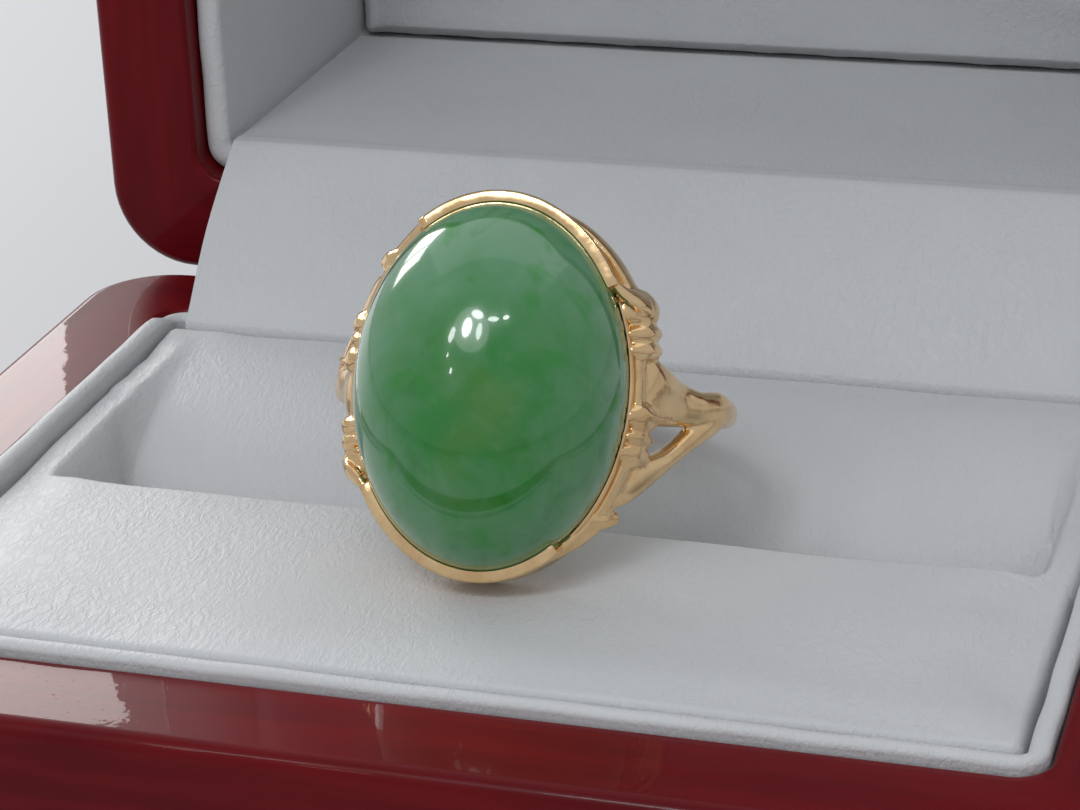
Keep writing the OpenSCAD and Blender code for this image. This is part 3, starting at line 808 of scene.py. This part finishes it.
def make_flap():
    flap_low, flap_high = box_mm("hinge_flap")
    half_w, thick = (flap_high[0] - flap_low[0]) / 2, 0.3
    liner_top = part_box("lid_liner_rear")[1].z / MM
    pad_face = lid_pad_low[1]
    lower, upper = np.array([18.0, rim_z + 0.45]), np.array([24.9, liner_top - 0.05])
    tuck = 4.0
    middle = (lower + upper) / 2 + 0.35 * np.array([-0.67, 0.74])
    controls = [(pad_high[1] + 0.02, rim_z - tuck), (pad_high[1] + 0.02, rim_z - 1.6),
                (pad_high[1] + 0.12, rim_z - 0.3), lower, middle, upper,
                (25.9, liner_top + 0.3), (28, liner_top + 0.2), (pad_face - 6, liner_top + 0.2),
                (pad_face - 0.1, liner_top + 0.2)]
    line = catmull(controls, 8)
    along = np.gradient(line, axis=0)
    along /= np.linalg.norm(along, axis=1)[:, None]
    out = np.column_stack([-along[:, 1], along[:, 0]])
    length = np.concatenate([[0], np.cumsum(np.linalg.norm(np.diff(line, axis=0), axis=1))])
    x_lines = np.linspace(-half_w, half_w, 90)
    loops = []
    for sign, rows in ((1, range(len(line))), (-1, range(len(line) - 1, -1, -1))):
        for i in rows:
            free = math.sin(math.pi * np.clip((length[i] - 3.5) / 11, 0, 1))
            wave = 0.10 * free * ripple(x_lines, 0 * x_lines + length[i], 0 * x_lines, 9, 31)
            spot = line[i] + out[i] * (sign * thick / 2)
            loops.append(np.column_stack([x_lines, spot[0] + out[i][0] * wave, spot[1] + out[i][1] * wave]))
    count, rows = len(x_lines), len(loops)
    faces = [(i * count + k, i * count + k + 1, (i + 1) % rows * count + k + 1, (i + 1) % rows * count + k)
             for i in range(rows) for k in range(count - 1)]
    half = len(line)
    for k in (0, count - 1):
        faces += [(i * count + k, (i + 1) * count + k, (rows - 2 - i) * count + k, (rows - 1 - i) * count + k)
                  for i in range(half - 1)]
    flap = new_piece("hinge_cover_strip", (np.concatenate(loops), faces), leather_look, 60)
    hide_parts("hinge_flap")
    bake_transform(flap)


# ---- hinges, felt and cards ----

def make_spring(name):
    low, high = box_mm(name)
    x0, x1 = low[0] + WIRE_R, high[0] - WIRE_R
    t = np.linspace(0, 1, 240)
    turn = np.radians(90 - 360 * COIL_TURNS * t)
    coil = np.column_stack([x0 + (x1 - x0) * t, hinge_y + COIL_R * np.cos(turn),
                            hinge_z + COIL_R * np.sin(turn)])
    base_leg = [(x0, hinge_y - COIL_LEG * k, hinge_z + COIL_R) for k in (1, 0.66, 0.33)]
    lid_leg = [(x1, hinge_y - COIL_R, hinge_z + COIL_LEG * k) for k in (0.33, 0.66, 1)]
    path = np.concatenate([base_leg, coil, lid_leg])
    rows = np.column_stack([path, np.full(len(path), WIRE_R), np.full(len(path), WIRE_R)])
    spring = new_piece(name + "_coil", rod(rows, (1, 0.02, 0.01), 1, 12), steel_look, 80)
    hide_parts(name)
    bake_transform(spring)


def make_hinges():
    for name in ("hinge_spring_left", "hinge_spring_right"):
        make_spring(name)
    edge_wear, wear_angle = 0.05, 40
    metal = [n for n in frame["nodes"] if n.startswith(("hinge_leaf", "hinge_pin")) or n.endswith("screws")]
    for name in metal:
        node = frame["nodes"][name]
        node.data.materials.clear()
        node.data.materials.append(brass_look)
        bevel = node.modifiers.new("worn_edges", "BEVEL")
        bevel.width = edge_wear * MM
        bevel.segments = 2
        bevel.limit_method = "ANGLE"
        bevel.angle_limit = math.radians(wear_angle)
    for name in ("pad_board", "lid_pad_board"):
        node = frame["nodes"][name]
        node.data.materials.clear()
        node.data.materials.append(card_look)


def make_felt():
    low, high = felt_low, felt_high
    corner_r, soft, fuzz_size, fuzz_out = 3.0, 0.3, 1.3, 0.06
    loops = []
    steps = dict(corner_steps=10, edge_steps=40)
    for s, c in quarter(4):
        loops.append(inset_rect(low, high, corner_r, soft * (1 - s), low[2] + soft * (1 - c), **steps))
    for s, c in quarter(4)[::-1]:
        loops.append(inset_rect(low, high, corner_r, soft * (1 - s), high[2] - soft * (1 - c), **steps))
    points, faces = loft(loops)
    x, y, z = points.T
    fuzz = fuzz_out * ripple(x, y, z, fuzz_size, 41)
    points = points + np.column_stack([fuzz, fuzz, 0 * fuzz])
    piece = new_piece("felt_base", (points, faces), felt_look, 80)
    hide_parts("base_felt")
    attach(piece, "base")


# ---- ring ----

def oval(turn, outwards):
    """X and Y at a turn round the stone's edge, moved outwards from it."""
    x, y = STONE_RX * math.cos(turn), STONE_RY * math.sin(turn)
    normal = np.array([math.cos(turn) / STONE_RX, math.sin(turn) / STONE_RY])
    normal /= np.linalg.norm(normal)
    return np.array([x, y]) + outwards * normal


def make_stone():
    around = np.radians(np.arange(0, 360, 3))
    loops = []
    for lift in np.radians(np.linspace(88, 0, 36)):
        loops.append(np.column_stack([STONE_RX * math.cos(lift) * np.cos(around),
                                      STONE_RY * math.cos(lift) * np.sin(around),
                                      np.full(len(around), STONE_DOME * math.sin(lift))]))
    for inset, z in ((0.03, -0.1), (0.15, -0.2)):
        loops.append(np.array([(*oval(t, -inset), z) for t in around]))
    points, faces = loft(loops)
    stone = new_piece("jade_stone", (in_slot(points), faces), jade_look, 60)
    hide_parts("jade_cabochon")
    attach(stone, "ring")


def lip_share(degrees):
    """1 where the setting's lip stands over the stone's end arcs, 0 along its sides."""
    outside, inside = 2, 1.5
    turn = degrees % 180
    risen = smoothstep(turn, ARC_FROM - outside, ARC_FROM + inside)
    fallen = smoothstep(turn, ARC_TO - inside, ARC_TO + outside)
    return float(risen * (1 - fallen))


def make_setting():
    """Open-backed oval setting with a slim lip over the two end arcs and low walls along the sides."""
    low, lip, side = -1.5, 0.85, -0.05
    loops = []
    for degrees in np.arange(0, 360, 1.5):
        turn = math.radians(degrees)
        share = lip_share(degrees)
        top = side + (lip - side) * share
        reach = 0.18 + 0.25 * share
        section = [(reach - 0.14, low), (reach - 0.06, low + 0.06), (reach - 0.05, low + 0.3),
                   (reach - 0.05, top - 0.52), (reach - 0.01, top - 0.42), (reach, top - 0.32),
                   (reach, top - 0.12), (reach - 0.05, top - 0.03), (reach - 0.13, top),
                   (0.10 - 0.15 * share, top - 0.02), (0.04 - 0.14 * share, top - 0.10), (0.04, side - 0.14),
                   (0.04, -0.26), (-0.7, -0.26), (-0.8, -0.36), (-0.8, low + 0.1), (-0.72, low)]
        loops.append(np.array([(*oval(turn, out), z) for out, z in section]))
    points, faces = loft(loops, ring=True)
    setting = new_piece("ring_setting", (in_slot(points), faces), gold_look, 40)
    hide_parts("ring_bezel")
    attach(setting, "ring")


def flute(degrees, half_w, reach):
    """Rounded rib that runs from the stone's edge out and down the setting's side."""
    turn = math.radians(degrees)
    rows = [(*oval(turn, out * reach), z, half_w * wide, 0.34)
            for out, z, wide in ((0.15, -0.4, 0.7), (0.75, -0.85, 1.0), (1.0, -1.7, 0.95), (1.0, -2.4, 0.6))]
    return rod(rows, (math.cos(turn), math.sin(turn), 0.5))


def shoulder():
    """Parts of the shoulder on the stone's right, each one a rod through rows of x, y, z, half width and
    half thickness: two branches, the leaf and its tip, a flared wall, a ledge, a curled end and flutes."""
    facing = (0.85, 0.0, 0.52)
    upper = [(5.75, 0.6, -0.9, 0.9, 0.3), (6.35, 0.5, -1.7, 1.3, 0.42), (6.8, 0.3, -3.0, 1.2, 0.46),
             (7.2, 0.08, -4.6, 0.98, 0.48), (7.9, -0.05, -6.0, 0.8, 0.52), (8.5, 0.0, -7.5, 0.84, 0.5),
             (8.68, 0.0, -8.9, 0.7, 0.44), (8.6, 0.0, -10.4, 0.5, 0.3)]
    lower = [(4.9, -4.45, -0.9, 0.35, 0.3), (5.5, -3.95, -1.7, 0.7, 0.42), (6.2, -3.15, -3.0, 0.7, 0.48),
             (6.85, -2.45, -4.3, 0.5, 0.5), (7.5, -1.6, -5.5, 0.5, 0.5), (8.1, -0.7, -6.7, 0.7, 0.55),
             (8.48, -0.05, -7.6, 0.8, 0.48), (8.66, 0.0, -8.9, 0.62, 0.4)]
    leaf = [(5.15, -4.9, -1.0, 0.35, 0.3), (4.6, -5.5, -0.9, 0.6, 0.36), (3.95, -6.2, -0.5, 0.5, 0.34),
            (3.4, -6.75, 0.0, 0.32, 0.26), (2.8, -7.2, 0.3, 0.2, 0.18)]
    tip = [(4.45, -5.15, -0.5, 0.25, 0.25), (5.0, -5.25, -0.9, 0.42, 0.3), (5.45, -5.15, -1.5, 0.3, 0.25)]
    flare = [(*oval(math.radians(degrees), out), z, tall, 0.3) for degrees, out, z, tall in
             ((74, 0.1, -0.6, 0.35), (58, 0.28, -1.0, 0.7), (44, 0.45, -1.3, 0.95), (31, 0.6, -1.4, 1.0))]
    skirt = [(*oval(math.radians(degrees), 0.26), -1.35, 0.95, 0.3) for degrees in range(-50, 41, 10)]
    ledge = [(5.95, -0.55, -0.4, 0.13, 0.2), (6.55, -0.7, -1.0, 0.16, 0.3), (7.15, -0.85, -2.2, 0.15, 0.28),
             (7.35, -0.82, -3.4, 0.12, 0.2)]
    curl = [(*oval(math.radians(degrees), out), z, half_w, 0.22) for degrees, out, z, half_w in
            ((35.0, 0.22, 0.45, 0.2), (31.5, 0.45, 0.2, 0.36), (28.5, 0.8, -0.3, 0.5),
             (26.5, 1.05, -1.0, 0.5))]
    parts = [rod(upper, facing), rod(lower, facing), rod(leaf, (0.6, -0.6, 0.5)), rod(flare, (0.7, 0.7, 0.0)),
             rod(skirt, (1.0, 0.0, 0.0)), rod(ledge, facing), rod(curl, (0.85, 0.45, 0.3)), rod(tip, facing)]
    for degrees, half_w, reach in ((27.0, 0.80, 1.0), (19.2, 0.42, 0.9), (14.2, 0.42, 0.8),
                                   (-5.8, 0.6, 0.68), (-11.8, 0.32, 0.62), (-17.2, 0.52, 0.68)):
        parts.append(flute(degrees, half_w, reach))
    return parts


def make_band():
    """Shank with both shoulders, cast as one; the left shoulder is the right one turned half round."""
    right = shoulder()
    left = [(points * (-1, -1, 1), faces) for points, faces in right]
    rows = []
    top_half_w = SHANK_W / 2 - 0.34
    top_out, skin = 0.1, 0.05
    for turn in np.radians(np.linspace(10, -190, 36)):
        near_top = smoothstep(math.sin(turn), -0.4, 0.4)
        radius = FINGER_R + SHANK_T / 2 + top_out * near_top
        half_w = BACK_HALF_W + (top_half_w - BACK_HALF_W) * near_top
        rows.append((radius * math.cos(turn), 0, HOLE_Z + radius * math.sin(turn),
                     half_w, SHANK_T / 2 - skin))
    points, faces = fused([shank_loft(rows), *right, *left], voxel=0.10, rounds=1)
    band = new_piece("ring_band", (in_slot(points), faces), gold_look, 180)
    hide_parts("ring_shank", "ring_claws")
    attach(band, "ring")


def shank_loft(rows):
    """Half-round band through rows of x, y, z, half width along Y and half thickness across."""
    loops = []
    inner_share = 0.75
    around = np.radians(np.arange(0, 360, 15))
    across = np.cos(around)
    across = np.where(across < 0, across * inner_share, across)
    for x, y, z, half_w, half_t in rows:
        out = np.array([x, 0, z - HOLE_Z])
        out /= np.linalg.norm(out)
        loops.append(np.array([x, y, z]) + np.outer(across * half_t, out)
                     + np.outer(np.sin(around) * half_w, (0, 1, 0)))
    return loft(loops)


# ---- stage ----

def make_stage():
    bpy.ops.mesh.primitive_plane_add(size=3)
    floor = bpy.context.object
    floor.name = "floor"
    n = Nodes("floor", Roughness=0.6)
    floor.data.materials.append(n.link(Base_Color=n.mix(n.noise(120, 2), (0.54, 0.54, 0.55, 1),
                                                        (0.58, 0.58, 0.59, 1))))


def area_light(name, azimuth, elevation, distance, width, height, power, colour=(1, 1, 1), shape="RECTANGLE"):
    """Soft panel that faces the box. Azimuth is from +Y towards +X, in degrees, and sizes are metres."""
    middle_z = 0.025
    a, e = math.radians(azimuth), math.radians(elevation)
    way = Vector((math.sin(a) * math.cos(e), math.cos(a) * math.cos(e), math.sin(e)))
    data = bpy.data.lights.new(name, "AREA")
    data.shape = shape
    data.size, data.size_y = width, height
    data.energy = power
    data.color = colour
    light = bpy.data.objects.new(name, data)
    bpy.context.scene.collection.objects.link(light)
    light.location = Vector((0, 0, middle_z)) + way * distance
    light.rotation_mode = "QUATERNION"
    light.rotation_quaternion = way.to_track_quat("Z", "Y")


def make_lights():
    """A window behind on the left, a dim ceiling, broken bright patches in front, and a grey room."""
    window_elevation, window_away, window_tall = 22, 0.6, 0.17
    for k, (azimuth, width, power) in enumerate(((-62, 0.09, 0.30), (-49, 0.13, 0.62), (-35, 0.11, 0.50))):
        area_light(f"window_{k}", azimuth, window_elevation, window_away, width, window_tall, power,
                   (1.0, 0.99, 0.97))
    area_light("ceiling", -10, 62, 0.5, 0.90, 0.53, 0.56, (0.97, 0.98, 1.0))
    for k, (azimuth, elevation, width, height, power) in enumerate((
            (-163, 50, 0.060, 0.075, 0.20), (-150, 44, 0.034, 0.060, 0.06), (-171, 57, 0.075, 0.034, 0.09),
            (-177, 50, 0.034, 0.065, 0.06), (168, 56, 0.070, 0.020, 0.05), (152, 56, 0.040, 0.018, 0.03),
            (-158, 31, 0.014, 0.022, 0.012), (-152, 36, 0.010, 0.018, 0.008),
            (-168, 50, 0.230, 0.170, 0.14))):
        area_light(f"patch_{k}", azimuth, elevation, 0.5, width, height, power, (0.94, 0.97, 1.0), "ELLIPSE")
    world = bpy.data.worlds.new("room")
    bpy.context.scene.world = world
    world.use_nodes = True
    background = world.node_tree.nodes["Background"]
    background.inputs["Color"].default_value = (0.86, 0.88, 0.92, 1)
    background.inputs["Strength"].default_value = 0.57


def make_camera():
    """The view from the right of the front, looking down on the ring."""
    place = (39.108, -119.137, 84.648)
    yaw, pitch, roll = 17.922, 23.623, -2.327
    data = bpy.data.cameras.new("camera")
    data.lens, data.sensor_width = 102.309, 36.0
    data.clip_start, data.clip_end = 0.005, 20
    camera = bpy.data.objects.new("camera", data)
    bpy.context.scene.collection.objects.link(camera)
    turn = (Matrix.Rotation(math.radians(yaw), 4, "Z") @ Matrix.Rotation(math.radians(90 - pitch), 4, "X")
            @ Matrix.Rotation(math.radians(roll), 4, "Z"))
    camera.matrix_world = Matrix.Translation(Vector(place) * MM) @ turn
    bpy.context.scene.camera = camera


make_cases()
make_linings()
make_ring_pad()
make_lid_pad()
make_flap()
make_hinges()
make_felt()
make_stone()
make_setting()
make_band()
make_stage()
make_lights()
make_camera()
bpy.context.scene.view_settings.view_transform = "Standard"
